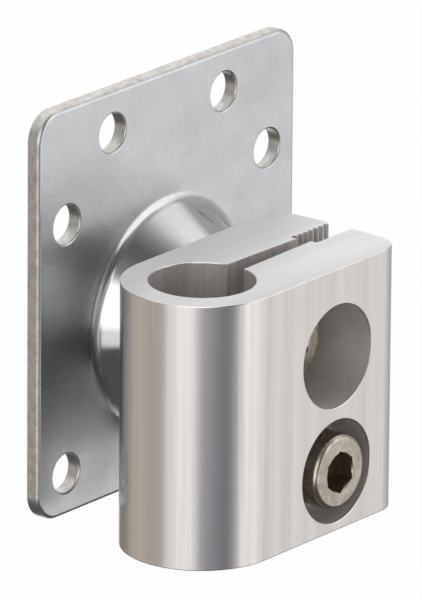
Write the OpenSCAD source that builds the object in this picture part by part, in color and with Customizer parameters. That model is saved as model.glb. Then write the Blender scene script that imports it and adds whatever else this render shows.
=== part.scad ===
// Tube support bracket. A split clamp block of extruded aluminium grips an upright round
// tube. One screw fixes it to the drawn dome of a pressed steel wall plate, and a second
// screw draws the block's two legs together.
// Millimetres. The origin is on the wall plane, on the axis of the fixing screw: +X runs
// along the wall towards the block's open end, +Y into the wall and +Z up along the tube.

/* [Clamp block] */
// Diameter of the tube that the block grips
tube_d = 22; // [18:0.5:24]
// Wall outside the tube, at the round end
clamp_wall = 5.75; // [4.5:0.25:8]
// Height of the block along the tube
block_h = 57; // [54:0.5:80]
// From the tube's axis to the open end
block_reach = 45; // [42:0.5:60]
// Radius of the upright corners at the open end
block_corner_r = 6; // [1:0.5:10]

/* [Slot and screw channel] */
// Width of the slot where it leaves the bore
slot_w_bore = 4.4; // [3:0.1:6]
// Width of the slot where it meets the screw channel
slot_w_channel = 3.3; // [2:0.1:4.4]
// From the slot's middle to the channel's plain front wall
channel_front = 3.1; // [2.5:0.1:4]
// From the slot's middle to the ridges of the channel's rear wall
channel_rear = 2.45; // [2.25:0.05:3.2]
// Grooves in the channel's rear wall, from the open end inwards
groove_count = 8; // [3:1:9]
// Spacing of the grooves
groove_pitch = 1.65; // [1.6:0.05:2.2]
// Radius of each groove, and its depth in the wall
groove_r = 0.65; // [0.4:0.05:0.7]
// Radius of the relief that replaces the innermost groove
relief_r = 0.85; // [0.7:0.05:0.9]

/* [Screws] */
// From the tube's axis to the axis of the two screws
screw_offset = 23.5; // [22.5:0.25:26]
// From the block's top down to the fixing screw
fixing_drop = 19; // [13:0.5:22]
// From the fixing screw down to the clamp screw
screw_spacing = 25; // [23:0.5:28]
// Thread diameter of both screws
screw_d = 10; // [8:0.5:10]
// Diameter of the screws' heads
head_d = 16; // [13:0.5:18]
// Height of the screws' heads
head_h = 10; // [8:0.5:10]
// Radius round the top of the heads
head_edge = 1; // [0.2:0.1:1.4]
// Width across flats of the hex sockets
socket_af = 8; // [5:0.5:9]
// Depth of the hex sockets
socket_depth = 5; // [3:0.5:6]
// Length of the fixing screw under its head
fixing_len = 25; // [23:0.5:26]
// Length of the clamp screw under its head
clamp_len = 20; // [16:0.5:23]
// Diameter of the two counterbores
counterbore_d = 22; // [18:0.5:22]
// Depth of the fixing screw's seat behind the front face
fixing_seat = 21; // [20:0.5:24]
// Depth of the clamp screw's seat behind the front face
clamp_seat = 9; // [6:0.5:11]
// Diameter of the holes that the screws pass through
clearance_d = 11; // [10.2:0.1:11.5]
// Gap round a screw in its thread
thread_gap = 0.1; // [0.05:0.01:0.2]

/* [Wall plate] */
// Width of the plate
plate_w = 83; // [76:1:110]
// Height of the plate
plate_h = 88; // [80:1:120]
// Thickness of the sheet
plate_t = 3; // [2:0.25:4]
// Height of the plate's centre above the dome's axis
plate_rise = 8; // [0:0.5:10]
// Radius of the plate's corners
plate_corner_r = 6; // [2:0.5:10]
// Radius that blanking leaves round the front edge
edge_roll = 0.8; // [0.3:0.1:1.2]
// Diameter of the wall screws' holes
wall_hole_d = 8.4; // [4:0.2:9]
// Radius round each hole's front rim
hole_roll = 0.4; // [0.1:0.05:0.8]
// From the plate's edges to the holes beside them
hole_margin = 9; // [8:0.5:10]
// Between the two top holes
top_pair = 36; // [30:1:44]
// From the top edge down to the two side holes
side_drop = 25; // [22:0.5:27]

/* [Dome] */
// Diameter of the dome where it rises from the sheet
dome_d = 49; // [46:0.5:52]
// Height of the dome's top above the sheet
dome_h = 11.5; // [10.5:0.25:13]
// Slope of the dome's flank
dome_slope = 51; // [50:1:60]
// Radius at the foot of the dome
foot_r = 2.5; // [1.5:0.25:4]
// Radius of the dome's shoulder
shoulder_r = 4.5; // [4.25:0.25:6]

/* [Weld nut] */
// Width across flats of the nut
nut_af = 17; // [15:0.5:17]
// Height of the nut
nut_h = 8; // [6:0.5:8]
// Diameter of the nut's pilot collar
pilot_d = 12.6; // [12:0.1:14]
// Height of the pilot collar
pilot_h = 1.6; // [1:0.1:1.9]
// Gap round the pilot collar in the dome's hole
pilot_gap = 0.1; // [0.05:0.05:0.3]

/* [Hidden] */
$fn = 96;

zinc_colour = "#bcbfc2";
aluminium_colour = "#d6d3d0";
stainless_colour = "#c9c1b4";
steel_colour = "#9a9da0";

// How far a cutter runs past the face that it opens
past = 1;

// The block, from the wall outwards
bore_r = tube_d/2;
block_r = bore_r+clamp_wall;
rear_y = -(plate_t+dome_h);
bore_y = rear_y-block_r;
front_y = rear_y-2*block_r;
bore_x = -screw_offset;
block_top = fixing_drop;
clamp_z = -screw_spacing;

// The screws' seats, the length of the screw channel and the threads in the metal
fixing_seat_y = front_y+fixing_seat;
clamp_seat_y = front_y+clamp_seat;
channel_len = (groove_count-1)*groove_pitch;
thread_r = screw_d/2+thread_gap;

// The dome's profile, as radii from its axis and heights above the sheet's front face
slope_half = tan(dome_slope/2);
foot_corner = dome_d/2-foot_r*slope_half;
top_corner = foot_corner-dome_h/tan(dome_slope);
sheet_shift = plate_t*slope_half;

// Turns a shape that stands on the XY plane to stand out from the wall, towards -Y
module out_of_wall() {
    rotate([90, 0, 0]) children();
}

// What a corner loses when it is rounded to radius r: the corner is at the origin, with
// the metal to its left and below
module corner_waste(r) {
    difference() {
        translate([-r, -r]) square(r+past);
        translate([-r, -r]) circle(r, $fn = 48);
    }
}

// A rectangle about the origin, with round corners
module rounded_rectangle(w, h, r) {
    square([w-2*r, h], center = true);
    square([w, h-2*r], center = true);
    for (sx = [-1, 1], sz = [-1, 1])
        translate([sx*(w/2-r), sz*(h/2-r)]) circle(r);
}

// The block's outline, seen from above with the tube's axis at the origin
module block_outline() {
    r = min(block_corner_r, block_r-max(channel_front, channel_rear+groove_r)-past);
    circle(block_r);
    translate([0, -block_r]) square([block_reach-r, 2*block_r]);
    translate([0, r-block_r]) square([block_reach, 2*(block_r-r)]);
    for (side = [-1, 1])
        translate([block_reach-r, side*(block_r-r)]) circle(r);
}

// The bore, the slot that tapers towards the open end, and the screw channel with its
// grooved rear wall
module block_opening() {
    circle(bore_r);
    polygon([
        [0, -slot_w_bore/2],
        [bore_r, -slot_w_bore/2],
        [block_reach-channel_len, -slot_w_channel/2],
        [block_reach-channel_len, slot_w_channel/2],
        [bore_r, slot_w_bore/2],
        [0, slot_w_bore/2]
    ]);
    translate([block_reach-channel_len, -channel_front])
        square([channel_len+past, channel_front+channel_rear]);
    for (i = [0:groove_count-1])
        translate([block_reach-i*groove_pitch, channel_rear])
            circle(i == groove_count-1 ? relief_r : groove_r, $fn = 32);
}

module clamp_block() {
    color(aluminium_colour)
    difference() {
        translate([bore_x, bore_y, block_top-block_h])
            linear_extrude(block_h) difference() {
                block_outline();
                block_opening();
            }
        // Fixing screw: a deep counterbore through the front leg into the rear one
        translate([0, fixing_seat_y, 0]) out_of_wall() {
            cylinder(h = fixing_seat+past, d = counterbore_d);
            translate([0, 0, -block_r]) cylinder(h = block_r+past, d = clearance_d);
        }
        // Clamp screw: a counterbore and clearance in the front leg, a thread in the rear
        translate([0, clamp_seat_y, clamp_z]) out_of_wall() {
            cylinder(h = clamp_seat+past, d = counterbore_d);
            translate([0, 0, clamp_seat-block_r]) cylinder(h = block_r, d = clearance_d);
        }
        translate([0, rear_y+past, clamp_z]) out_of_wall()
            cylinder(h = block_r+past, r = thread_r);
    }
}

// A socket head cap screw: its seat is at the origin and its head stands towards +Z
module socket_screw(length) {
    lead_in = 0.3;
    point = 1;
    difference() {
        rotate_extrude() polygon([
            [0, -length],
            [screw_d/2-point, -length],
            [screw_d/2, point-length],
            [screw_d/2, 0],
            [head_d/2, 0],
            [head_d/2, head_h],
            [0, head_h]
        ]);
        translate([0, 0, head_h]) rotate_extrude() translate([head_d/2, 0])
            corner_waste(head_edge);
        translate([0, 0, head_h-socket_depth]) rotate(90)
            cylinder(h = socket_depth+past, d = socket_af/cos(30), $fn = 6);
        translate([0, 0, head_h-lead_in])
            cylinder(h = lead_in+past, r1 = socket_af/2, r2 = socket_af/2+lead_in+past);
    }
}

module fixing_screw() {
    color(stainless_colour)
    translate([0, fixing_seat_y, 0]) out_of_wall() socket_screw(fixing_len);
}

module clamp_screw() {
    color(stainless_colour)
    translate([0, clamp_seat_y, clamp_z]) out_of_wall() socket_screw(clamp_len);
}

// The blanked sheet, with its front edge rolled over all round
module plate_blank() {
    corner_x = plate_w/2-plate_corner_r;
    corner_z = plate_h/2-plate_corner_r;
    difference() {
        linear_extrude(plate_t) rounded_rectangle(plate_w, plate_h, plate_corner_r);
        translate([0, 0, plate_t]) {
            for (turn = [0, 180]) rotate(turn) {
                translate([plate_w/2, corner_z, 0]) rotate([90, 0, 0])
                    linear_extrude(2*corner_z) corner_waste(edge_roll);
                translate([-corner_x, plate_h/2, 0]) rotate([90, 0, 90])
                    linear_extrude(2*corner_x) corner_waste(edge_roll);
                for (quarter = [0, 1])
                    translate([corner_x*(1-2*quarter), corner_z, 0]) rotate(90*quarter)
                        rotate_extrude(angle = 90)
                            translate([plate_corner_r, 0]) corner_waste(edge_roll);
            }
        }
    }
}

// One wall hole, with the round rim that punching leaves at its front
module wall_hole() {
    r = wall_hole_d/2;
    translate([0, 0, -past]) cylinder(h = plate_t+2*past, r = r);
    translate([0, 0, plate_t]) rotate_extrude()
        translate([r, 0]) mirror([1, 0]) corner_waste(hole_roll);
}

// Half the dome's section under one face of the sheet: a flat base from base_h up to 0,
// a flank and a flat top at dome_h, with a hollow radius at the foot and a full one above
module dome_section(foot, top, base_h, hollow, full) {
    foot_run = hollow*slope_half;
    top_run = full*slope_half;
    difference() {
        polygon([
            [0, base_h],
            [foot+foot_run, base_h],
            [foot+foot_run, hollow],
            [foot-foot_run*cos(dome_slope), foot_run*sin(dome_slope)],
            [top+top_run*cos(dome_slope), dome_h-top_run*sin(dome_slope)],
            [top-top_run, dome_h-full],
            [top-top_run, dome_h],
            [0, dome_h]
        ]);
        translate([foot+foot_run, hollow]) circle(hollow);
    }
    translate([top-top_run, dome_h-full]) circle(full);
}

module wall_plate() {
    color(zinc_colour)
    difference() {
        out_of_wall() union() {
            translate([0, plate_rise, 0]) plate_blank();
            rotate_extrude() translate([0, plate_t])
                dome_section(foot_corner, top_corner, -plate_t/2, foot_r, shoulder_r);
        }
        // The dome's hollow back, one sheet thickness behind its front
        out_of_wall() rotate_extrude()
            dome_section(foot_corner-sheet_shift, top_corner-sheet_shift, -past,
                foot_r+plate_t, shoulder_r-plate_t);
        // Hole for the weld nut's pilot collar
        out_of_wall() cylinder(h = plate_t+dome_h+past, r = pilot_d/2+pilot_gap);
        // Holes for the wall screws: a pair at the top, at the sides and at the bottom
        out_of_wall() translate([0, plate_rise, 0]) for (side = [-1, 1]) {
            translate([side*top_pair/2, plate_h/2-hole_margin, 0]) wall_hole();
            translate([side*(plate_w/2-hole_margin), plate_h/2-side_drop, 0]) wall_hole();
            translate([side*(plate_w/2-hole_margin), hole_margin-plate_h/2, 0]) wall_hole();
        }
    }
}

module weld_nut() {
    corner_r = nut_af/2/cos(30);
    color(steel_colour)
    translate([0, -dome_h, 0]) out_of_wall() difference() {
        union() {
            translate([0, 0, -nut_h]) intersection() {
                cylinder(h = nut_h, r = corner_r, $fn = 6);
                rotate_extrude() polygon([
                    [0, 0],
                    [nut_af/2, 0],
                    [corner_r+past, (corner_r+past-nut_af/2)*tan(30)],
                    [corner_r+past, nut_h],
                    [0, nut_h]
                ]);
            }
            cylinder(h = pilot_h, d = pilot_d);
        }
        translate([0, 0, -nut_h-past]) cylinder(h = nut_h+pilot_h+2*past, r = thread_r);
    }
}

wall_plate();
clamp_block();
fixing_screw();
clamp_screw();
weld_nut();
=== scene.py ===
"""Dresses the tube support bracket for a studio photograph.

The bracket is a split clamp block of extruded aluminium, fixed by one socket screw to the
drawn dome of a zinc-plated wall plate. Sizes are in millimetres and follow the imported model;
Blender's own lengths are metres. +X runs along the wall, +Y into it and +Z up the tube.
"""

import logging
import math
from dataclasses import dataclass, field
from enum import Enum
from typing import Callable, ClassVar, Iterable

import bmesh
import bpy
from mathutils import Matrix, Vector


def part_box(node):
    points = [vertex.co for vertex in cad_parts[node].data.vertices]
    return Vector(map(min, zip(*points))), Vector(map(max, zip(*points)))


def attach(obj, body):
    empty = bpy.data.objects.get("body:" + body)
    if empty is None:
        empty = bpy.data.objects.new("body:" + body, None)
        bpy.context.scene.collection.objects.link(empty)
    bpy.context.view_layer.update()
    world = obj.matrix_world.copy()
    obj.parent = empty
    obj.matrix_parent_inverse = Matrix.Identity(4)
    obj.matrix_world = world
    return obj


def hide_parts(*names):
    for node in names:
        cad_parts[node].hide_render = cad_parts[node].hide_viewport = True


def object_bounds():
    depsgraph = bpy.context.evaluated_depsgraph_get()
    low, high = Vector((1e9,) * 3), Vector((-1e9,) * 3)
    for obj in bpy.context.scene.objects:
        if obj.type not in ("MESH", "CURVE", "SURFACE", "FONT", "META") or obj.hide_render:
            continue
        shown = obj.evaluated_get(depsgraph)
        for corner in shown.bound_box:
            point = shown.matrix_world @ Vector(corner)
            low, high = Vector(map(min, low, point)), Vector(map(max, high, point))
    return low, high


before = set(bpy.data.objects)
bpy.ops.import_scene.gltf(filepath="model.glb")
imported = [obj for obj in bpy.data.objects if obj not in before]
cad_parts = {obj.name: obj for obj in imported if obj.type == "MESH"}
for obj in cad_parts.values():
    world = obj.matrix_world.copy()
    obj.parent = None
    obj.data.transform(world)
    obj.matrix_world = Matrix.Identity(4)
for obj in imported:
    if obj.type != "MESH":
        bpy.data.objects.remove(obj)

LOG = logging.getLogger("bracket")
BODY = "root"
CAD_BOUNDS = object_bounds()

# Two places count as the same when they are nearer than this, in millimetres
SAME = 0.01
# A cutter runs this far past what it cuts, in millimetres
PAST = 1.0
# A normal counts as along an axis when it reaches this far along it
ALONG = 0.9999
# Edges shallower than this are smoothed, in degrees
SHALLOW = 30.0
# Sides of a shank or a wall hole, of a head or a counterbore, and of the bore
SMALL_ROUND, ROUND, LARGE_ROUND = 64, 96, 128


def mm(length: float) -> float:
    """Returns a length in millimetres as metres."""
    return length*0.001


def node_span(name: str, axis: int) -> tuple[float, float]:
    """Gives how far a CAD node reaches along one axis.

    Args:
        name: The node's name.
        axis: 0, 1 or 2 for X, Y or Z.

    Returns:
        The node's lowest and highest place on that axis, in millimetres.
    """
    low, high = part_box(name)
    return low[axis]*1000, high[axis]*1000


# Modelling by hand: each helper is one step at the bench


def deselect() -> None:
    """Leaves nothing selected."""
    bpy.ops.object.select_all(action="DESELECT")


def pick(piece: bpy.types.Object) -> None:
    """Makes a piece the only one selected, and the active one."""
    deselect()
    piece.select_set(True)
    bpy.context.view_layer.objects.active = piece


def settle(piece: bpy.types.Object) -> None:
    """Moves a piece's place, turn and scale into its mesh."""
    pick(piece)
    bpy.ops.object.transform_apply(location=True, rotation=True, scale=True)


def turned(radius: float, low: Vector, high: Vector, sides: int = ROUND,
           top: float | None = None, turn: float = 0.0) -> bpy.types.Object:
    """Adds a cylinder or a cone between two points.

    Args:
        radius: Its radius at the low end.
        low: The centre of its low end.
        high: The centre of its high end.
        sides: How many sides it has.
        top: Its radius at the high end, where that differs.
        turn: Its turn about its own axis, in degrees.

    Returns:
        The new piece, with its place in its mesh.
    """
    axis = high-low
    facing = axis.to_track_quat("Z", "Y")
    spin = Matrix.Rotation(math.radians(turn), 3, "Z")
    bpy.ops.mesh.primitive_cone_add(
        vertices=sides, radius1=mm(radius), radius2=mm(radius if top is None else top),
        depth=mm(axis.length), location=[mm(v) for v in (low+high)/2],
        rotation=(facing.to_matrix() @ spin).to_euler())
    piece = bpy.context.active_object
    settle(piece)
    return piece


def block(low: Vector, high: Vector) -> bpy.types.Object:
    """Adds a cuboid between two corners, with its place in its mesh."""
    bpy.ops.mesh.primitive_cube_add(size=1, location=[mm(v) for v in (low+high)/2],
                                    scale=[mm(v) for v in high-low])
    piece = bpy.context.active_object
    settle(piece)
    return piece


def finish_with(piece: bpy.types.Object, kind: str, **settings: object) -> None:
    """Adds a modifier to a piece and applies it.

    Args:
        piece: The piece.
        kind: The modifier's type, such as "BEVEL".
        **settings: Its settings.
    """
    pick(piece)
    modifier = piece.modifiers.new(kind.title(), kind)
    for name, value in settings.items():
        setattr(modifier, name, value)
    bpy.ops.object.modifier_apply(modifier=modifier.name)


def cut(piece: bpy.types.Object, *cutters: bpy.types.Object) -> None:
    """Takes cutters out of a piece, one after another, and deletes them."""
    for cutter in cutters:
        finish_with(piece, "BOOLEAN", object=cutter, operation="DIFFERENCE", solver="EXACT")
        bpy.data.objects.remove(cutter)


def weld(piece: bpy.types.Object, other: bpy.types.Object) -> None:
    """Unites another solid with a piece, and deletes it."""
    finish_with(piece, "BOOLEAN", object=other, operation="UNION", solver="EXACT")
    bpy.data.objects.remove(other)


def select_edges(piece: bpy.types.Object, wanted: Callable[[Vector, Vector], bool]) -> int:
    """Opens a piece in edit mode with the wanted edges selected.

    Args:
        piece: The piece.
        wanted: Takes an edge's two ends in millimetres, and says if it is selected.

    Returns:
        How many edges are selected.
    """
    pick(piece)
    bpy.ops.object.mode_set(mode="EDIT")
    bpy.ops.mesh.select_mode(type="EDGE")
    bpy.ops.mesh.select_all(action="DESELECT")
    mesh = bmesh.from_edit_mesh(piece.data)
    count = 0
    for edge in mesh.edges:
        if wanted(edge.verts[0].co*1000, edge.verts[1].co*1000):
            edge.select_set(True)
            count += 1
    bmesh.update_edit_mesh(piece.data)
    return count


def round_edges(piece: bpy.types.Object, radius: float, segments: int,
                wanted: Callable[[Vector, Vector], bool]) -> None:
    """Rounds the wanted edges of a piece.

    Args:
        piece: The piece.
        radius: The radius, in millimetres.
        segments: How many steps the round has.
        wanted: Takes an edge's two ends in millimetres, and says if it is rounded.
    """
    if select_edges(piece, wanted):
        bpy.ops.mesh.bevel(offset=mm(radius), segments=segments, profile=0.5, clamp_overlap=False)
    bpy.ops.object.mode_set(mode="OBJECT")


def select_faces(piece: bpy.types.Object, wanted: Callable[[bmesh.types.BMFace], bool]) -> None:
    """Opens a piece in edit mode with the wanted faces selected.

    Args:
        piece: The piece.
        wanted: Takes a face, and says if it is selected.
    """
    pick(piece)
    bpy.ops.object.mode_set(mode="EDIT")
    bpy.ops.mesh.select_mode(type="FACE")
    bpy.ops.mesh.select_all(action="DESELECT")
    mesh = bmesh.from_edit_mesh(piece.data)
    for face in mesh.faces:
        face.select_set(wanted(face))
    bmesh.update_edit_mesh(piece.data)


def drop_faces(piece: bpy.types.Object, wanted: Callable[[bmesh.types.BMFace], bool]) -> None:
    """Deletes the wanted faces of a piece."""
    select_faces(piece, wanted)
    bpy.ops.mesh.delete(type="FACE")
    bpy.ops.object.mode_set(mode="OBJECT")


def merge_ends(piece: bpy.types.Object, distance: float = SAME/2) -> None:
    """Merges vertices that lie closer than a distance in millimetres."""
    pick(piece)
    bpy.ops.object.mode_set(mode="EDIT")
    bpy.ops.mesh.select_all(action="SELECT")
    bpy.ops.mesh.remove_doubles(threshold=mm(distance))
    bpy.ops.mesh.normals_make_consistent(inside=False)
    bpy.ops.object.mode_set(mode="OBJECT")


def close_seam(piece: bpy.types.Object) -> None:
    """Fills hair-thin gaps along a seam, where one side's edge has a point more."""
    pick(piece)
    bpy.ops.object.mode_set(mode="EDIT")
    bpy.ops.mesh.select_all(action="SELECT")
    bpy.ops.mesh.fill_holes(sides=4)
    bpy.ops.mesh.select_all(action="SELECT")
    bpy.ops.mesh.normals_make_consistent(inside=False)
    bpy.ops.object.mode_set(mode="OBJECT")


def smooth(piece: bpy.types.Object, angle: float = SHALLOW,
           flats: Callable[[bmesh.types.BMFace], bool] | None = None) -> None:
    """Smooths a piece across shallow edges.

    Args:
        piece: The piece.
        angle: Edges shallower than this are smoothed, in degrees.
        flats: Takes a face, and says if it stays flat and is cut into well-shaped triangles.
    """
    pick(piece)
    bpy.ops.object.shade_smooth_by_angle(angle=math.radians(angle))
    if flats:
        select_faces(piece, flats)
        bpy.ops.mesh.quads_convert_to_tris(quad_method="BEAUTY", ngon_method="CLIP")
        bpy.ops.mesh.beautify_fill(angle_limit=math.radians(1))
        bpy.ops.mesh.faces_shade_flat()
        bpy.ops.object.mode_set(mode="OBJECT")
    finish_with(piece, "WEIGHTED_NORMAL", mode="FACE_AREA", weight=100, keep_sharp=True)


def hand_over(piece: bpy.types.Object, node: str) -> None:
    """Lets a finished piece stand for its CAD node.

    Args:
        piece: The finished piece.
        node: The node that it replaces.
    """
    piece.name = node+"_dressed"
    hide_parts(node)
    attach(piece, BODY)
    LOG.info("%s: %d faces", piece.name, len(piece.data.polygons))


# Finishes


def linear(colour: str) -> tuple[float, float, float, float]:
    """Turns an sRGB hex colour to linear RGBA."""
    parts = [int(colour[i:i+2], 16)/255 for i in (1, 3, 5)]
    return (*[v/12.92 if v <= 0.04045 else ((v+0.055)/1.055)**2.4 for v in parts], 1.0)


def add_node(tree: bpy.types.NodeTree, kind: str, settings: dict | None = None,
             **sockets: object) -> bpy.types.Node:
    """Adds a shader node with its settings and links.

    Args:
        tree: The node tree.
        kind: The node's type name.
        settings: The node's own settings, such as its blend type.
        **sockets: Input sockets by name or place, with _ for a space: a value, or the output
            socket that feeds it.

    Returns:
        The new node.
    """
    made = tree.nodes.new(kind)
    for name, value in (settings or {}).items():
        setattr(made, name, value)
    for name, value in sockets.items():
        key = int(name[1:]) if name[1:].isdigit() else name.replace("_", " ")
        socket = made.inputs[key]
        if isinstance(value, bpy.types.NodeSocket):
            tree.links.new(value, socket)
        else:
            socket.default_value = value
    return made


def ramp(tree: bpy.types.NodeTree, factor: bpy.types.NodeSocket,
         stops: Iterable[tuple[float, float | str]]) -> bpy.types.NodeSocket:
    """Adds a colour ramp.

    Args:
        tree: The node tree.
        factor: What drives the ramp.
        stops: Places from 0 to 1, each with a grey level in linear light or an sRGB hex colour.

    Returns:
        The ramp's colour output.
    """
    made = add_node(tree, "ShaderNodeValToRGB", Fac=factor)
    elements = made.color_ramp.elements
    for i, (place, level) in enumerate(stops):
        element = elements[i] if i < 2 else elements.new(place)
        element.position = place
        element.color = linear(level) if isinstance(level, str) else (level, level, level, 1.0)
    return made.outputs["Color"]


def blank_material(name: str) -> tuple[bpy.types.Material, bpy.types.NodeTree]:
    """Starts a material with an empty node tree."""
    material = bpy.data.materials.new(name)
    material.use_nodes = True
    material.node_tree.nodes.clear()
    return material, material.node_tree


class Grain(Enum):
    """How a metal's fine marks run."""

    ALONG_TUBE = (1.0, 1.0, 0.012)
    ALONG_WALL = (0.03, 1.0, 1.0)
    MOTTLED = (1.0, 1.0, 1.0)


@dataclass(frozen=True)
class MetalFinish:
    """A bare or plated metal, with marks left by how it was made.

    Attributes:
        name: The finish, in a maker's words.
        dark: Its colour in the marks, sRGB hex.
        light: Its colour between them, sRGB hex.
        roughness: Its roughness between the marks.
        spread: How much rougher the marks are.
        grain: How the marks run.
        mark_mm: How wide a mark is, in millimetres.
        depth_mm: How deep a mark is, in millimetres.
        cloud_mm: How wide the broad, faint variation is, in millimetres.
    """

    name: str
    dark: str
    light: str
    roughness: float
    spread: float
    grain: Grain
    mark_mm: float
    depth_mm: float
    cloud_mm: float

    # The noise goes over from a mark to the plain metal between these two levels
    MARKED: ClassVar[float] = 0.35
    PLAIN: ClassVar[float] = 0.65
    # How much of the noise is marks; the rest is the broad variation
    MARK_SHARE: ClassVar[float] = 0.4

    def build(self) -> bpy.types.Material:
        """Makes the material from the finish's values."""
        material, tree = blank_material(self.name)
        place = add_node(tree, "ShaderNodeTexCoord").outputs["Object"]
        along = add_node(tree, "ShaderNodeMapping", Vector=place, Scale=self.grain.value)
        marks = add_node(tree, "ShaderNodeTexNoise", Vector=along.outputs["Vector"],
                         Scale=1/mm(self.mark_mm), Detail=2.0, Roughness=0.6)
        clouds = add_node(tree, "ShaderNodeTexNoise", Vector=along.outputs["Vector"],
                          Scale=1/mm(self.cloud_mm), Detail=1.0)
        both = add_node(tree, "ShaderNodeMath", {"operation": "MULTIPLY"},
                        _0=clouds.outputs["Fac"], _1=1-self.MARK_SHARE)
        mixed = add_node(tree, "ShaderNodeMath", {"operation": "MULTIPLY_ADD"},
                         _0=marks.outputs["Fac"], _1=self.MARK_SHARE,
                         _2=both.outputs["Value"])
        colour = ramp(tree, mixed.outputs["Value"],
                      [(self.MARKED, self.dark), (self.PLAIN, self.light)])
        rough = add_node(tree, "ShaderNodeMapRange", Value=mixed.outputs["Value"],
                         From_Min=self.MARKED, From_Max=self.PLAIN,
                         To_Min=self.roughness+self.spread, To_Max=self.roughness)
        bump = add_node(tree, "ShaderNodeBump", Height=marks.outputs["Fac"], Strength=0.5,
                        Distance=mm(self.depth_mm))
        shader = add_node(tree, "ShaderNodeBsdfPrincipled", Base_Color=colour, Metallic=1.0,
                          Roughness=self.worn(tree, place, rough.outputs["Result"]),
                          Normal=bump.outputs["Normal"])
        add_node(tree, "ShaderNodeOutputMaterial", Surface=shader.outputs["BSDF"])
        return material

    def worn(self, tree: bpy.types.NodeTree, place: bpy.types.NodeSocket,
             rough: bpy.types.NodeSocket) -> bpy.types.NodeSocket:
        """Gives the roughness as it is, for a finish that is the same all over."""
        return rough


@dataclass(frozen=True)
class PressedFinish(MetalFinish):
    """A plated sheet that the press has burnished where it was drawn.

    Attributes:
        drawn_mm: The radii between which the drawn middle goes over into the flat sheet.
        burnish: What part of its roughness the drawn middle keeps.
    """

    drawn_mm: tuple[float, float]
    burnish: float

    def worn(self, tree: bpy.types.NodeTree, place: bpy.types.NodeSocket,
             rough: bpy.types.NodeSocket) -> bpy.types.NodeSocket:
        """Makes the drawn middle smoother than the flat sheet.

        Args:
            tree: The node tree.
            place: The place on the piece.
            rough: The roughness of the flat sheet.

        Returns:
            The roughness all over.
        """
        flat = add_node(tree, "ShaderNodeMapping", Vector=place, Scale=(1.0, 0.0, 1.0))
        radius = add_node(tree, "ShaderNodeVectorMath", {"operation": "LENGTH"},
                          _0=flat.outputs["Vector"])
        keeps = add_node(tree, "ShaderNodeMapRange", {"interpolation_type": "SMOOTHSTEP"},
                         Value=radius.outputs["Value"], From_Min=mm(self.drawn_mm[0]),
                         From_Max=mm(self.drawn_mm[1]), To_Min=self.burnish, To_Max=1.0)
        return add_node(tree, "ShaderNodeMath", {"operation": "MULTIPLY"}, _0=rough,
                        _1=keeps.outputs["Result"]).outputs["Value"]


# Extruded aluminium as it leaves the die: satin, with fine lines drawn along the length
MILL_ALUMINIUM = MetalFinish("mill_aluminium", "#e2ddda", "#ece8e6", 0.20, 0.07,
                             Grain.ALONG_TUBE, 0.5, 0.006, 3.5)
# The same die lines inside the bore and the slot, never handled, so duller and more marked
BORE_ALUMINIUM = MetalFinish("bore_aluminium", "#d6d0ce", "#f0edeb", 0.50, 0.12,
                             Grain.ALONG_TUBE, 0.6, 0.02, 2.5)
# The ends where the extrusion was sawn off: pale, matt and faintly ribbed by the teeth
SAWN_ALUMINIUM = MetalFinish("sawn_aluminium", "#ebeaea", "#f6f6f6", 0.48, 0.08,
                             Grain.ALONG_WALL, 0.6, 0.008, 9.0)
# Holes drilled and counterbored across the extrusion: turned by the cutter, a little darker
DRILLED_ALUMINIUM = MetalFinish("drilled_aluminium", "#e2dfdd", "#f4f2f0", 0.62, 0.12,
                                Grain.MOTTLED, 0.5, 0.006, 5.0)
# Bright zinc plating on cold-rolled sheet: a slightly soft mirror, clearer on the drawn dome
ZINC_PLATE = PressedFinish("zinc_plate", "#d3d5d7", "#dddfe0", 0.27, 0.05,
                           Grain.MOTTLED, 1.2, 0.002, 9.0, (21.0, 28.0), 0.36)
# The sheet's blanked edge under the plating: torn by the press, so rougher and duller
BLANKED_EDGE = MetalFinish("blanked_edge", "#cbc6bf", "#e6e3de", 0.34, 0.10,
                           Grain.MOTTLED, 0.5, 0.012, 1.5)
# Stainless cap screws: cold-headed and tumbled, warmer and more even than the rest
STAINLESS = MetalFinish("stainless", "#b0a596", "#d2c9bc", 0.24, 0.06,
                        Grain.MOTTLED, 0.5, 0.004, 2.0)
# The sockets of the screws: a darker colour that paints the shade inside the recess, and rough
SOCKET_SHADE = MetalFinish("painted_socket_shade", "#857a6b", "#a09482", 0.42, 0.10,
                              Grain.MOTTLED, 0.6, 0.01, 2.0)


# The wall plate


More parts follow.
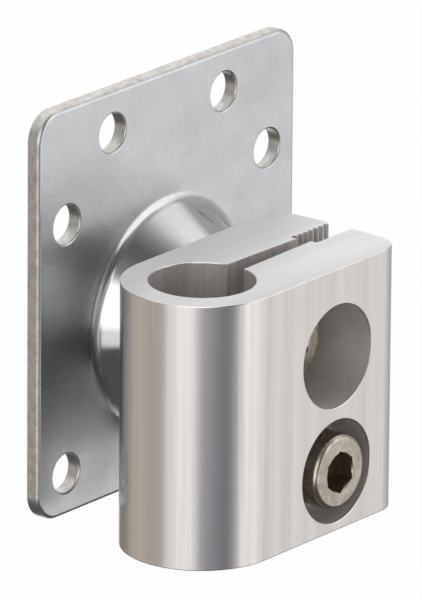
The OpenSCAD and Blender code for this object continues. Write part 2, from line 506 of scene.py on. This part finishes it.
@dataclass
class WallPlate:
    """The pressed steel plate, with its drawn dome and six punched holes.

    Attributes:
        thickness: The sheet's thickness.
        corner_r: Radius of its corners.
        edge_roll: Radius round its front edge.
        hole_r: Radius of the wall holes.
        hole_roll: Radius round each hole's front rim.
        hole_margin: From the edges to the holes beside them.
        top_pair: Between the two top holes.
        side_drop: From the top edge down to the side holes.
        dome_r: Radius of the dome's foot.
        slope: The dome's slope, in degrees.
        foot_r: Radius at its foot.
        shoulder_r: Radius of its shoulder.
        collar_r: Radius of the hole for the nut's collar.
        skirt: Width of the flat ring outside the foot that is drawn with the dome.
        flare_deg: How far the punch's flare turns outwards at the holes' rims, in degrees.
        rim_gap: How far the blanked opening may stray from the skirt's circle.
    """

    thickness: float = 3.0
    corner_r: float = 6.0
    edge_roll: float = 0.8
    hole_r: float = 4.2
    hole_roll: float = 0.4
    hole_margin: float = 9.0
    top_pair: float = 36.0
    side_drop: float = 25.0
    dome_r: float = 25.25
    slope: float = 56.0
    foot_r: float = 3.0
    shoulder_r: float = 4.5
    collar_r: float = 6.4
    skirt: float = 1.0
    flare_deg: float = 84.0
    rim_gap: float = 0.03
    x: tuple[float, float] = field(default_factory=lambda: node_span("wall_plate", 0))
    y: tuple[float, float] = field(default_factory=lambda: node_span("wall_plate", 1))
    z: tuple[float, float] = field(default_factory=lambda: node_span("wall_plate", 2))

    @property
    def skirt_r(self) -> float:
        """Radius at which sheet and dome meet."""
        return self.dome_r+self.skirt

    def hole_places(self) -> list[tuple[float, float]]:
        """Gives the X and Z of each wall hole."""
        side = self.x[1]-self.hole_margin
        rows = [(self.top_pair/2, self.z[1]-self.hole_margin), (side, self.z[1]-self.side_drop),
                (side, self.z[0]+self.hole_margin)]
        return [(sign*x, z) for x, z in rows for sign in (-1, 1)]

    def blank(self) -> bpy.types.Object:
        """Makes the flat sheet with its corners, front roll and holes."""
        front = -self.thickness
        sheet = block(Vector((self.x[0], front, self.z[0])), Vector((self.x[1], 0, self.z[1])))
        round_edges(sheet, self.corner_r, 14, lambda a, b: abs(a.y-b.y) > 1)
        round_edges(sheet, self.edge_roll, 4,
                    lambda a, b: abs(a.y-front) < SAME and abs(b.y-front) < SAME)
        cut(sheet, turned(self.skirt_r, Vector((0, PAST, 0)), Vector((0, front-PAST, 0))),
            *[self.punch(x, z) for x, z in self.hole_places()])
        self.open_rim(sheet)
        return sheet

    def punch(self, x: float, z: float) -> bpy.types.Object:
        """Makes the cutter of a wall hole, which flares round the hole's front rim.

        Args:
            x: The hole's place along the wall.
            z: Its height.

        Returns:
            The cutter.
        """
        mouth = -self.thickness+self.hole_roll
        cutter = turned(self.hole_r, Vector((x, PAST, z)), Vector((x, mouth, z)), SMALL_ROUND)
        select_faces(cutter, lambda face: face.normal.y < -0.9)
        radius, depth, steps = self.hole_r, 0.0, 4
        for i in range(1, steps+1):
            turn = math.radians(self.flare_deg)*i/steps
            wider = self.hole_r+self.hole_roll*(1-math.cos(turn))
            deeper = self.hole_roll*math.sin(turn)
            bpy.ops.mesh.extrude_region_move(
                TRANSFORM_OT_translate={"value": (0, -mm(deeper-depth), 0)})
            bpy.ops.transform.resize(value=(wider/radius, 1, wider/radius),
                                     center_override=[mm(v) for v in (x, mouth-deeper, z)])
            radius, depth = wider, deeper
        bpy.ops.mesh.extrude_region_move(TRANSFORM_OT_translate={"value": (0, -mm(PAST), 0)})
        bpy.ops.object.mode_set(mode="OBJECT")
        return cutter

    def open_rim(self, piece: bpy.types.Object) -> None:
        """Takes away the wall round the dome's skirt, where sheet and dome run on as one."""
        drop_faces(piece, lambda face: all(
            abs(math.hypot(v.co.x, v.co.z)-mm(self.skirt_r)) < mm(self.rim_gap)
            for v in face.verts))

    def profile(self) -> list[tuple[float, float]]:
        """Gives the dome's front as radii and heights above the sheet, from foot to hole."""
        height = -self.y[0]-self.thickness
        beta = math.radians(self.slope)
        half = math.tan(beta/2)
        foot_corner = self.dome_r-self.foot_r*half
        top_corner = foot_corner-height/math.tan(beta)
        flat_r = top_corner-self.shoulder_r*half
        steps = 8
        turns = [beta*i/steps for i in range(steps+1)]
        foot = [(self.dome_r-self.foot_r*math.sin(t), self.foot_r*(1-math.cos(t))) for t in turns]
        shoulder = [(flat_r+self.shoulder_r*math.sin(t), height-self.shoulder_r*(1-math.cos(t)))
                    for t in reversed(turns)]
        return [(self.skirt_r, 0)]+foot+shoulder+[(self.collar_r, height)]

    def dome(self) -> bpy.types.Object:
        """Draws the dome: a ring round the foot is extruded and narrowed along the profile."""
        profile = self.profile()
        bpy.ops.mesh.primitive_circle_add(vertices=ROUND, radius=mm(self.skirt_r),
                                          location=(0, -mm(self.thickness), 0),
                                          rotation=(math.pi/2, 0, 0))
        shell = bpy.context.active_object
        settle(shell)
        bpy.ops.object.mode_set(mode="EDIT")
        bpy.ops.mesh.select_mode(type="VERT")
        bpy.ops.mesh.select_all(action="SELECT")
        radius, height = profile[0]
        for next_radius, next_height in profile[1:]:
            centre = (0, -mm(self.thickness+next_height), 0)
            bpy.ops.mesh.extrude_region_move(
                TRANSFORM_OT_translate={"value": (0, -mm(next_height-height), 0)})
            share = next_radius/radius
            bpy.ops.transform.resize(value=(share, 1, share), center_override=centre)
            radius, height = next_radius, next_height
        bpy.ops.mesh.select_all(action="SELECT")
        bpy.ops.mesh.normals_make_consistent(inside=False)
        bpy.ops.object.mode_set(mode="OBJECT")
        towards_wall = sum(face.normal.y*face.area for face in shell.data.polygons) > 0
        if towards_wall:
            shell.data.flip_normals()
        finish_with(shell, "SOLIDIFY", thickness=mm(self.thickness), offset=-1.0,
                    use_even_offset=True)
        self.open_rim(shell)
        return shell

    def build(self) -> bpy.types.Object:
        """Makes the whole plate and dresses it."""
        sheet = self.blank()
        shell = self.dome()
        pick(sheet)
        shell.select_set(True)
        bpy.ops.object.join()
        merge_ends(sheet, 2*SAME)
        close_seam(sheet)
        smooth(sheet, 35, self.on_sheet)
        sheet.data.materials.append(ZINC_PLATE.build())
        sheet.data.materials.append(BLANKED_EDGE.build())
        self.mark_blanked(sheet)
        hand_over(sheet, "wall_plate")
        return sheet

    def on_sheet(self, face: bmesh.types.BMFace) -> bool:
        """Says if a face is one of the sheet's two flats, outside the dome."""
        centre = face.calc_center_median()
        return (abs(face.normal.y) > ALONG
                and math.hypot(centre.x, centre.z) > mm(self.skirt_r))

    def mark_blanked(self, sheet: bpy.types.Object) -> None:
        """Gives the blanked outer edge and the punched holes' walls their own finish."""
        steep = 0.6
        for face in sheet.data.polygons:
            centre = face.center*1000
            if abs(face.normal.y) < steep and math.hypot(centre.x, centre.z) > self.skirt_r:
                face.material_index = 1


# The clamp block


@dataclass
class ClampBlock:
    """The split extrusion that grips the tube.

    Attributes:
        bore_r: Radius of the bore.
        slot_bore: Width of the slot at the bore.
        slot_channel: Width of the slot at the screw channel.
        channel_front: From the slot's middle to the screw channel's plain front wall.
        channel_rear: From the slot's middle to the ridges of its rear wall.
        groove_count: Grooves in the rear wall of the channel.
        groove_pitch: Spacing of the grooves.
        groove_r: Radius of a groove.
        relief_r: Radius of the innermost groove.
        corner_r: Radius of the upright corners at the open end.
        counterbore_r: Radius of the counterbores.
        fixing_seat: Depth of the fixing screw's seat.
        clamp_seat: Depth of the clamp screw's seat.
        clearance_r: Radius of the screws' clearance holes.
        thread_r: Radius of the tapped hole.
        screw_spacing: From the fixing screw down to the clamp screw.
        deburr: Width of the broken edge round the sawn ends and hole mouths.
    """

    bore_r: float = 11.0
    slot_bore: float = 4.4
    slot_channel: float = 3.3
    channel_front: float = 3.1
    channel_rear: float = 2.45
    groove_count: int = 8
    groove_pitch: float = 1.65
    groove_r: float = 0.65
    relief_r: float = 0.85
    corner_r: float = 6.0
    counterbore_r: float = 11.0
    fixing_seat: float = 21.0
    clamp_seat: float = 9.0
    clearance_r: float = 5.5
    thread_r: float = 5.1
    screw_spacing: float = 25.0
    deburr: float = 0.25
    x: tuple[float, float] = field(default_factory=lambda: node_span("clamp_block", 0))
    y: tuple[float, float] = field(default_factory=lambda: node_span("clamp_block", 1))
    z: tuple[float, float] = field(default_factory=lambda: node_span("clamp_block", 2))

    @property
    def outer_r(self) -> float:
        """Radius of the round end."""
        return (self.y[1]-self.y[0])/2

    @property
    def bore(self) -> Vector:
        """The tube's axis, at the height of the screws."""
        return Vector((self.x[0]+self.outer_r, (self.y[0]+self.y[1])/2, 0))

    @property
    def channel_x(self) -> float:
        """Where the screw channel begins, at the middle of its innermost groove."""
        return self.x[1]-(self.groove_count-1)*self.groove_pitch

    def outline(self) -> bpy.types.Object:
        """Saws off a length of the profile: half a disc, pulled out to the open end."""
        bpy.ops.mesh.primitive_circle_add(
            vertices=LARGE_ROUND, radius=mm(self.outer_r), fill_type="NGON",
            location=[mm(v) for v in (self.bore.x, self.bore.y, self.z[0])])
        body = bpy.context.active_object
        settle(body)
        bpy.ops.object.mode_set(mode="EDIT")
        bpy.ops.mesh.select_all(action="SELECT")
        bpy.ops.mesh.bisect(plane_co=(mm(self.bore.x+0.001), 0, 0), plane_no=(1, 0, 0),
                            use_fill=False, clear_outer=True)
        bpy.ops.object.mode_set(mode="OBJECT")
        select_edges(body, lambda a, b: min(a.x, b.x) > self.bore.x-SAME)
        bpy.ops.mesh.extrude_region_move(
            TRANSFORM_OT_translate={"value": (mm(self.x[1]-self.bore.x), 0, 0)})
        bpy.ops.mesh.select_all(action="SELECT")
        bpy.ops.mesh.dissolve_limited(angle_limit=math.radians(0.5))
        bpy.ops.mesh.select_mode(type="FACE")
        bpy.ops.mesh.select_all(action="SELECT")
        bpy.ops.mesh.extrude_region_move(
            TRANSFORM_OT_translate={"value": (0, 0, mm(self.z[1]-self.z[0]))})
        bpy.ops.mesh.select_all(action="SELECT")
        bpy.ops.mesh.normals_make_consistent(inside=False)
        bpy.ops.object.mode_set(mode="OBJECT")
        round_edges(body, self.corner_r, 16,
                    lambda a, b: min(a.x, b.x) > self.x[1]-0.1 and abs(a.z-b.z) > 1)
        return body

    def through(self, x: float, y: float, radius: float, sides: int) -> bpy.types.Object:
        """Makes an upright cutter that runs past both sawn ends."""
        return turned(radius, Vector((x, y, self.z[0]-PAST)), Vector((x, y, self.z[1]+PAST)),
                      sides)

    def slot(self) -> bpy.types.Object:
        """Makes the cutter of the slot, which narrows from the bore to the channel."""
        start = self.bore.x+self.bore_r
        end = self.channel_x
        taper = (self.slot_bore-self.slot_channel)/(end-start)
        # It runs on with the same taper into both, so that no skin is left between them
        wide, narrow = self.slot_bore+2*PAST*taper, self.slot_channel-PAST*taper
        cutter = block(Vector((start-2*PAST, self.bore.y-wide/2, self.z[0]-PAST)),
                       Vector((end+PAST, self.bore.y+wide/2, self.z[1]+PAST)))
        select_edges(cutter, lambda a, b: min(a.x, b.x) > end)
        bpy.ops.transform.resize(value=(1, narrow/wide, 1),
                                 center_override=[mm(v) for v in (end, self.bore.y, 0)])
        bpy.ops.object.mode_set(mode="OBJECT")
        return cutter

    def channel(self) -> list[bpy.types.Object]:
        """Makes the cutters of the screw channel and of the grooves in its rear wall."""
        ridges = self.bore.y+self.channel_rear
        front = self.bore.y-self.channel_front
        cutters = [block(Vector((self.channel_x, front, self.z[0]-PAST)),
                         Vector((self.x[1]+PAST, ridges, self.z[1]+PAST)))]
        for i in range(self.groove_count):
            radius = self.relief_r if i == self.groove_count-1 else self.groove_r
            cutters.append(self.through(self.x[1]-i*self.groove_pitch, ridges, radius, 24))
        return cutters

    def across(self, z: float, depth: float, end: float, radius: float) -> bpy.types.Object:
        """Makes a cutter along a screw, between two depths behind the front face."""
        front = self.y[0]
        return turned(radius, Vector((0, front+end, z)), Vector((0, front+depth, z)))

    def build(self) -> bpy.types.Object:
        """Makes the block and dresses it."""
        body = self.outline()
        low = -self.screw_spacing
        behind = self.outer_r*2+PAST
        # The clearance hole ends and the tapped hole begins in the slot
        in_slot = (self.outer_r-0.5, self.outer_r+0.5)
        cut(body, self.through(self.bore.x, self.bore.y, self.bore_r, LARGE_ROUND),
            self.slot(), *self.channel())
        cut(body, self.across(0, -PAST, self.fixing_seat, self.counterbore_r),
            self.across(0, self.fixing_seat-PAST, behind, self.clearance_r),
            self.across(low, -PAST, self.clamp_seat, self.counterbore_r),
            self.across(low, self.clamp_seat-PAST, in_slot[1], self.clearance_r),
            self.across(low, in_slot[0], behind, self.thread_r))
        merge_ends(body)
        self.break_edges(body)
        smooth(body, flats=lambda face: max(abs(v) for v in face.normal) > ALONG)
        for finish in (MILL_ALUMINIUM, SAWN_ALUMINIUM, DRILLED_ALUMINIUM, BORE_ALUMINIUM):
            body.data.materials.append(finish.build())
        self.mark_surfaces(body)
        hand_over(body, "clamp_block")
        return body

    def break_edges(self, body: bpy.types.Object) -> None:
        """Breaks the sharp edges round the sawn ends and the counterbores' mouths."""
        for z in self.z:
            round_edges(body, self.deburr, 2, lambda a, b: all(
                abs(p.z-z) < SAME and self.on_outline(p) for p in (a, b)))
        for z in (0, -self.screw_spacing):
            round_edges(body, self.deburr, 2, lambda a, b: all(
                abs(p.y-self.y[0]) < SAME
                and abs(math.hypot(p.x, p.z-z)-self.counterbore_r) < 2*SAME for p in (a, b)))

    def on_outline(self, point: Vector) -> bool:
        """Says if a point lies on the profile's outer face or on the bore."""
        from_bore = math.hypot(point.x-self.bore.x, point.y-self.bore.y)
        round_end = point.x < self.bore.x+SAME and abs(from_bore-self.outer_r) < 2*SAME
        to_flat = min(point.y-self.y[0], self.y[1]-point.y)
        flat = point.x > self.bore.x-SAME and to_flat < SAME
        in_slot = abs(point.y-self.bore.y) < self.slot_bore/2+5*SAME and point.x > self.bore.x
        corner = Vector((self.x[1]-self.corner_r, self.outer_r-self.corner_r))
        from_corner = math.hypot(point.x-corner.x, abs(point.y-self.bore.y)-corner.y)
        rounded = point.x > corner.x-SAME and abs(from_corner-self.corner_r) < 2*SAME
        bore = abs(from_bore-self.bore_r) < 2*SAME and not in_slot
        return round_end or flat or rounded or bore

    def mark_surfaces(self, body: bpy.types.Object) -> None:
        """Gives the sawn ends, the drilled holes, the bore and the slot their own finishes."""
        sawn, drilled, drawn = 1, 2, 3
        deepest = self.channel_rear+self.relief_r
        for face in body.data.polygons:
            centre = face.center*1000
            from_end = min(centre.z-self.z[0], self.z[1]-centre.z)
            from_screw = min(math.hypot(centre.x, centre.z),
                             math.hypot(centre.x, centre.z+self.screw_spacing))
            from_middle = abs(centre.y-self.bore.y)
            from_bore = math.hypot(centre.x-self.bore.x, centre.y-self.bore.y)
            inside = self.y[0]+SAME < centre.y < self.y[1]-SAME
            in_leg = inside and from_middle > self.slot_bore/2-SAME
            in_channel = centre.x > self.bore.x and from_middle < deepest+SAME
            if abs(face.normal.z) > 0.98 and from_end < SAME:
                face.material_index = sawn
            elif from_screw < self.counterbore_r-SAME/10 and in_leg:
                face.material_index = drilled
            elif from_bore < self.bore_r+SAME or in_channel:
                face.material_index = drawn


# Screws and nut


class Screw(Enum):
    """The two screws of the bracket, by their CAD nodes."""

    FIXING = "fixing_screw"
    CLAMP = "clamp_screw"


@dataclass
class SocketScrew:
    """A socket head cap screw.

    Attributes:
        which: Which of the bracket's screws it is.
        head_h: Height of the head.
        edge: Radius round the top of the head.
        socket_af: Width across flats of the socket.
        socket_depth: Depth of the socket.
        lead_in: Depth of the chamfer round the socket's mouth.
        thread_d: Thread diameter.
        point: Chamfer at the thread's end.
    """

    which: Screw
    head_h: float = 10.0
    edge: float = 1.0
    socket_af: float = 8.0
    socket_depth: float = 5.0
    lead_in: float = 0.3
    thread_d: float = 10.0
    point: float = 1.0

    def build(self) -> bpy.types.Object:
        """Makes the screw and dresses it."""
        node = self.which.value
        x, y, z = (node_span(node, axis) for axis in range(3))
        centre_z = (z[0]+z[1])/2
        head_r = (x[1]-x[0])/2
        at = lambda depth: Vector((0, y[0]+depth, centre_z))
        screw = turned(head_r, at(self.head_h), at(0))
        round_edges(screw, self.edge, 6,
                    lambda a, b: abs(a.y-y[0]) < SAME and abs(b.y-y[0]) < SAME)
        hexagon = turned(self.socket_af/2/math.cos(math.pi/6), at(self.socket_depth),
                         at(-PAST), 6)
        mouth = turned(self.socket_af/2, at(self.lead_in), at(-PAST),
                       top=self.socket_af/2+self.lead_in+PAST)
        cut(screw, hexagon, mouth)
        shank = turned(self.thread_d/2-2*SAME, Vector((0, y[1], centre_z)),
                       at(self.head_h-PAST/2), SMALL_ROUND)
        round_edges(shank, self.point, 1, lambda a, b: min(a.y, b.y) > y[1]-SAME)
        weld(screw, shank)
        merge_ends(screw)
        smooth(screw)
        screw.data.materials.append(STAINLESS.build())
        # The socket's walls, picked out below, take this darker colour: painted shade in the
        # recess
        screw.data.materials.append(SOCKET_SHADE.build())
        # The middles of the socket's faces lie nearer to the axis than its corners
        reach = self.socket_af*0.56
        deepest = y[0]+self.socket_depth+10*SAME
        for face in screw.data.polygons:
            centre = face.center*1000
            if (math.hypot(centre.x, centre.z-centre_z) < reach
                    and y[0]+self.lead_in < centre.y < deepest):
                face.material_index = 1
        hand_over(screw, node)
        return screw


@dataclass
class WeldNut:
    """The hex nut inside the dome, with its pilot collar.

    Attributes:
        across_flats: Width across flats.
        height: Height of the hexagon.
        collar_r: Radius of the collar.
        thread_r: Radius of the threaded hole.
        crown_deg: Slope of the chamfer at the corners of the hexagon's back, in degrees.
    """

    across_flats: float = 17.0
    height: float = 8.0
    collar_r: float = 6.3
    thread_r: float = 5.1
    crown_deg: float = 30.0

    def build(self) -> bpy.types.Object:
        """Makes the nut and dresses it."""
        front, back = node_span("weld_nut", 1)
        seat = back-self.height
        corner_r = self.across_flats/2/math.cos(math.pi/6)
        at = lambda y: Vector((0, y, 0))
        nut = turned(corner_r, at(back), at(seat), 6, turn=90)
        flare = 1/math.tan(math.radians(self.crown_deg))
        dish = turned(self.across_flats/2-PAST*flare, at(back+PAST), at(seat-PAST),
                      top=self.across_flats/2+(self.height+PAST)*flare)
        finish_with(nut, "BOOLEAN", object=dish, operation="INTERSECT", solver="EXACT")
        bpy.data.objects.remove(dish)
        weld(nut, turned(self.collar_r, at(seat+PAST), at(front), SMALL_ROUND))
        cut(nut, turned(self.thread_r, at(back+PAST), at(front-PAST), SMALL_ROUND))
        merge_ends(nut)
        smooth(nut)
        nut.data.materials.append(ZINC_PLATE.build())
        hand_over(nut, "weld_nut")
        return nut


# The studio


@dataclass(frozen=True)
class Ring:
    """How light the studio is all round, over one band of heights.

    Attributes:
        fade: The sines of the elevations between which this band takes over from the one below.
        levels: Azimuths in degrees from +X towards +Y, each with a grey level in linear light
            or an sRGB hex colour.
    """

    fade: tuple[float, float]
    levels: tuple[tuple[float, float | str], ...]

    def stops(self) -> list[tuple[float, float | str]]:
        """Gives the levels as stops of a colour ramp."""
        return [(azimuth/360, level) for azimuth, level in self.levels]


RINGS = (
    # Below the object: the unlit floor of the studio
    Ring((-1.0, -1.0), ((0, "#565857"), (360, "#565857"))),
    # The table's edge, with white boards left and right, a warm wall behind on the left and a
    # cool dark gap beside the camera
    Ring((-0.50, -0.40), ((0, 0.45), (40, 0.30), (70, 0.20), (92, "#9c968d"), (109, "#beb7ac"),
                          (152, "#beb5ad"), (164, 0.46), (172, 1.08), (206, 1.08), (219, 0.37),
                          (231, "#8d8e96"), (246, "#80818a"), (260, "#818289"), (270, 0.48),
                          (279, 1.12), (304, 1.06), (321, 0.82), (340, 0.60), (360, 0.45))),
    # Eye level: a soft box on the left, and a narrow bright one on the right
    Ring((-0.24, -0.10), ((0, 0.45), (12, 0.42), (45, 0.80), (100, 0.30), (165, 0.45),
                          (180, 1.2), (195, 1.5), (236, 1.5), (246, 0.10), (278, 0.10),
                          (290, 1.3), (318, 1.3), (332, 0.50), (345, 0.45), (360, 0.45))),
    # Overhead: dark above the camera, lighter to the right and behind
    Ring((0.44, 0.64), ((0, 0.95), (90, 0.95), (180, 0.60), (235, 0.14), (250, 0.14),
                        (285, 0.30), (311, 0.52), (330, 0.82), (345, 1.0), (360, 0.95))),
)


@dataclass
class Studio:
    """Floor, light and camera.

    Attributes:
        photo: The photograph's width and height, in pixels.
        azimuth: The camera's azimuth about the bracket, in degrees.
        elevation: Its elevation, in degrees.
        roll: Its roll, in degrees.
        distance: Its distance from the point it looks at, in millimetres.
        scale: Pixels per millimetre at that point.
        look_at: The point it looks at, in millimetres.
        floor_drop: How far the floor lies below the bracket, in millimetres.
        floor_white: How much of the floor's own shading is given up to be white.
        floor_mirrored: How much of that white metal shows.
        backdrop: Azimuths in degrees, each with how much of the white backdrop is there.
    """

    photo: tuple[int, int] = (422, 600)
    azimuth: float = -51.06
    elevation: float = 19.14
    roll: float = 0.45
    distance: float = 2300.0
    scale: float = 4.911
    look_at: tuple[float, float, float] = (-20.31, -31.0, 13.78)
    floor_drop: float = 0.5
    floor_white: float = 0.975
    floor_mirrored: float = 0.35
    backdrop: tuple[tuple[float, float], ...] = (
        (0, 0.0), (16, 0.0), (28, 1.0), (50, 1.0), (62, 0.0), (360, 0.0))

    def camera(self) -> None:
        """Sets the camera where the photograph was taken from."""
        az, el, roll = (math.radians(v) for v in (self.azimuth, self.elevation, self.roll))
        back = Vector((math.sin(az)*math.cos(el), -math.cos(az)*math.cos(el), math.sin(el)))
        right = (-back).cross(Vector((0, 0, 1))).normalized()
        up = right.cross(-back)
        across = right*math.cos(roll)+up*math.sin(roll)
        upright = up*math.cos(roll)-right*math.sin(roll)
        data = bpy.data.cameras.new("camera")
        data.sensor_width = 36.0
        data.lens = data.sensor_width*self.scale*self.distance/max(self.photo)
        data.clip_start, data.clip_end = 0.1, 20.0
        camera = bpy.data.objects.new("camera", data)
        turn = Matrix((across, upright, back)).transposed().to_4x4()
        place = Vector(self.look_at)+back*self.distance
        camera.matrix_world = Matrix.Translation([mm(v) for v in place]) @ turn
        bpy.context.collection.objects.link(camera)
        bpy.context.scene.camera = camera
        LOG.info("camera: %.0f mm lens", data.lens)

    def azimuth_of(self, tree: bpy.types.NodeTree, way: bpy.types.NodeSocket
                   ) -> bpy.types.NodeSocket:
        """Gives a direction's azimuth.

        Args:
            tree: The node tree.
            way: The direction, or a place about the bracket.

        Returns:
            The azimuth from +X towards +Y, as a share of the full turn.
        """
        parts = add_node(tree, "ShaderNodeSeparateXYZ", Vector=way)
        angle = add_node(tree, "ShaderNodeMath", {"operation": "ARCTAN2"},
                         _0=parts.outputs["Y"], _1=parts.outputs["X"])
        turns = add_node(tree, "ShaderNodeMath", {"operation": "MULTIPLY_ADD"},
                         _0=angle.outputs["Value"], _1=0.5/math.pi, _2=1.0)
        share = add_node(tree, "ShaderNodeMath", {"operation": "FRACT"}, _0=turns.outputs["Value"])
        return share.outputs["Value"]

    def in_metal(self, tree: bpy.types.NodeTree, azimuth: bpy.types.NodeSocket,
                 light: bpy.types.NodeSocket) -> bpy.types.NodeSocket:
        """Says how far metal shows the white backdrop, which lies where the camera looks.

        Args:
            tree: The node tree.
            azimuth: The azimuth as a share of the full turn.
            light: The light path's outputs.

        Returns:
            1 for glossy rays towards the backdrop, 0 for the others.
        """
        behind = ramp(tree, azimuth, [(degrees/360, level) for degrees, level in self.backdrop])
        return add_node(tree, "ShaderNodeMath", {"operation": "MULTIPLY"},
                        _0=light["Is Glossy Ray"], _1=behind).outputs["Value"]

    def white_share(self, tree: bpy.types.NodeTree, light: bpy.types.NodeSocket,
                    mirrored: bpy.types.NodeSocket) -> bpy.types.NodeSocket:
        """Says how far a ray sees the white backdrop: from the camera, through glass, in metal.

        Args:
            tree: The node tree.
            light: The light path's outputs.
            mirrored: How far metal shows the backdrop.

        Returns:
            The share, from 0 to 1.
        """
        through = add_node(tree, "ShaderNodeMath", {"operation": "MAXIMUM"},
                           _0=light["Is Camera Ray"], _1=light["Is Transmission Ray"])
        return add_node(tree, "ShaderNodeMath", {"operation": "MAXIMUM"},
                        _0=through.outputs["Value"], _1=mirrored).outputs["Value"]

    def floor(self) -> None:
        """Lays a plain pale floor that takes the bracket's shadow."""
        deselect()
        bpy.ops.mesh.primitive_plane_add(size=8, location=(
            0, 0, CAD_BOUNDS[0][2]-mm(self.floor_drop)))
        floor = bpy.context.active_object
        floor.name = "floor"
        material, tree = blank_material("pale_floor")
        light = add_node(tree, "ShaderNodeLightPath").outputs
        place = add_node(tree, "ShaderNodeTexCoord").outputs["Object"]
        mirrored = self.in_metal(tree, self.azimuth_of(tree, place), light)
        # Close to the bracket metal shows the floor in its shadow, so there it is mostly shaded
        shaded = add_node(tree, "ShaderNodeMath", {"operation": "MULTIPLY"},
                          _0=mirrored, _1=self.floor_mirrored)
        white = add_node(tree, "ShaderNodeMath", {"operation": "MULTIPLY"},
                         _0=self.white_share(tree, light, shaded.outputs["Value"]),
                         _1=self.floor_white)
        pale = add_node(tree, "ShaderNodeBsdfDiffuse", Color=linear("#f4f4f4"))
        glow = add_node(tree, "ShaderNodeEmission", Color=(1, 1, 1, 1), Strength=1.0)
        seen = add_node(tree, "ShaderNodeMixShader", Fac=white.outputs["Value"],
                        _1=pale.outputs["BSDF"], _2=glow.outputs["Emission"])
        # In front of the bracket metal looks past the table's edge at the studio
        past = add_node(tree, "ShaderNodeMath", {"operation": "SUBTRACT"},
                        _0=light["Is Glossy Ray"], _1=mirrored)
        clear = add_node(tree, "ShaderNodeBsdfTransparent")
        both = add_node(tree, "ShaderNodeMixShader", Fac=past.outputs["Value"],
                        _1=seen.outputs["Shader"], _2=clear.outputs["BSDF"])
        add_node(tree, "ShaderNodeOutputMaterial", Surface=both.outputs["Shader"])
        floor.data.materials.append(material)

    def world(self) -> None:
        """Surrounds the bracket with the studio, and with the white backdrop behind it."""
        world = bpy.data.worlds.new("studio")
        bpy.context.scene.world = world
        world.use_nodes = True
        tree = world.node_tree
        tree.nodes.clear()
        way = add_node(tree, "ShaderNodeTexCoord").outputs["Generated"]
        height = add_node(tree, "ShaderNodeSeparateXYZ", Vector=way).outputs["Z"]
        azimuth = self.azimuth_of(tree, way)
        colour = ramp(tree, azimuth, RINGS[0].stops())
        for ring in RINGS[1:]:
            above = add_node(tree, "ShaderNodeMapRange", {"interpolation_type": "SMOOTHSTEP"},
                             Value=height, From_Min=ring.fade[0], From_Max=ring.fade[1])
            mixed = add_node(tree, "ShaderNodeMix", {"data_type": "RGBA"},
                             _0=above.outputs["Result"], _6=colour,
                             _7=ramp(tree, azimuth, ring.stops()))
            colour = mixed.outputs[2]
        light = add_node(tree, "ShaderNodeLightPath").outputs
        share = self.white_share(tree, light, self.in_metal(tree, azimuth, light))
        studio = add_node(tree, "ShaderNodeBackground", Color=colour, Strength=1.0)
        white = add_node(tree, "ShaderNodeBackground", Color=(1, 1, 1, 1), Strength=1.0)
        both = add_node(tree, "ShaderNodeMixShader", Fac=share,
                        _1=studio.outputs["Background"], _2=white.outputs["Background"])
        add_node(tree, "ShaderNodeOutputWorld", Surface=both.outputs["Shader"])

    def build(self) -> None:
        """Sets up the whole studio."""
        bpy.context.scene.view_settings.view_transform = "Standard"
        self.camera()
        self.floor()
        self.world()


def main() -> None:
    """Builds the bracket piece by piece, then the studio."""
    logging.basicConfig(level=logging.INFO, format="%(name)s %(message)s")
    deselect()
    makers = [WallPlate(), ClampBlock(), SocketScrew(Screw.FIXING), SocketScrew(Screw.CLAMP),
              WeldNut()]
    for maker in makers:
        piece = maker.build()
        LOG.info("%s finished", piece.name)
    Studio().build()


if __name__ == "__main__":
    main()
